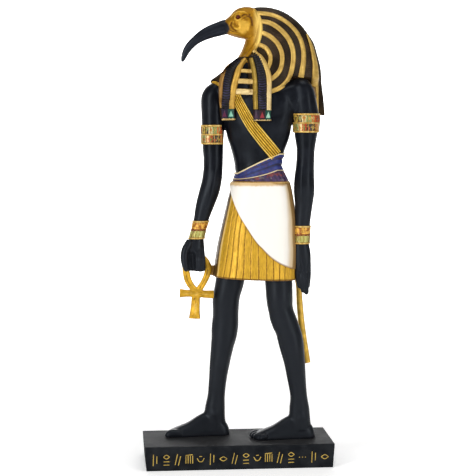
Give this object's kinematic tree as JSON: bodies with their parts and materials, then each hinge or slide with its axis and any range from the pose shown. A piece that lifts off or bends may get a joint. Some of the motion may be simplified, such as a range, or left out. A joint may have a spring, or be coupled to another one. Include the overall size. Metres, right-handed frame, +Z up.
{
  "type": "thoth ibis figure",
  "caption": "Souvenir statuette of a striding ibis-headed god in striped wig and pleated kilt, holding a looped cross, on a flat plinth",
  "frame": {"origin": "centre of the plinth's underside", "axes": "+Z up, X along the plinth with the figure walking to -X, Y across it with the chest turned to -Y"},
  "size_m": [0.125, 0.052, 0.3026],
  "materials": {
    "black_resin": "satin black paint on cast resin, with the dress picked out in other paints",
    "plinth_resin": "satin black-grey paint on cast resin",
    "gold_paint": "antique gold paint rubbed over a darker ground",
    "white_paint": "cream white paint",
    "blue_paint": "deep blue paint"
  },
  "bodies": {
    "root": {"figure": "black_resin", "plinth": "plinth_resin"}
  },
  "joints": []
}
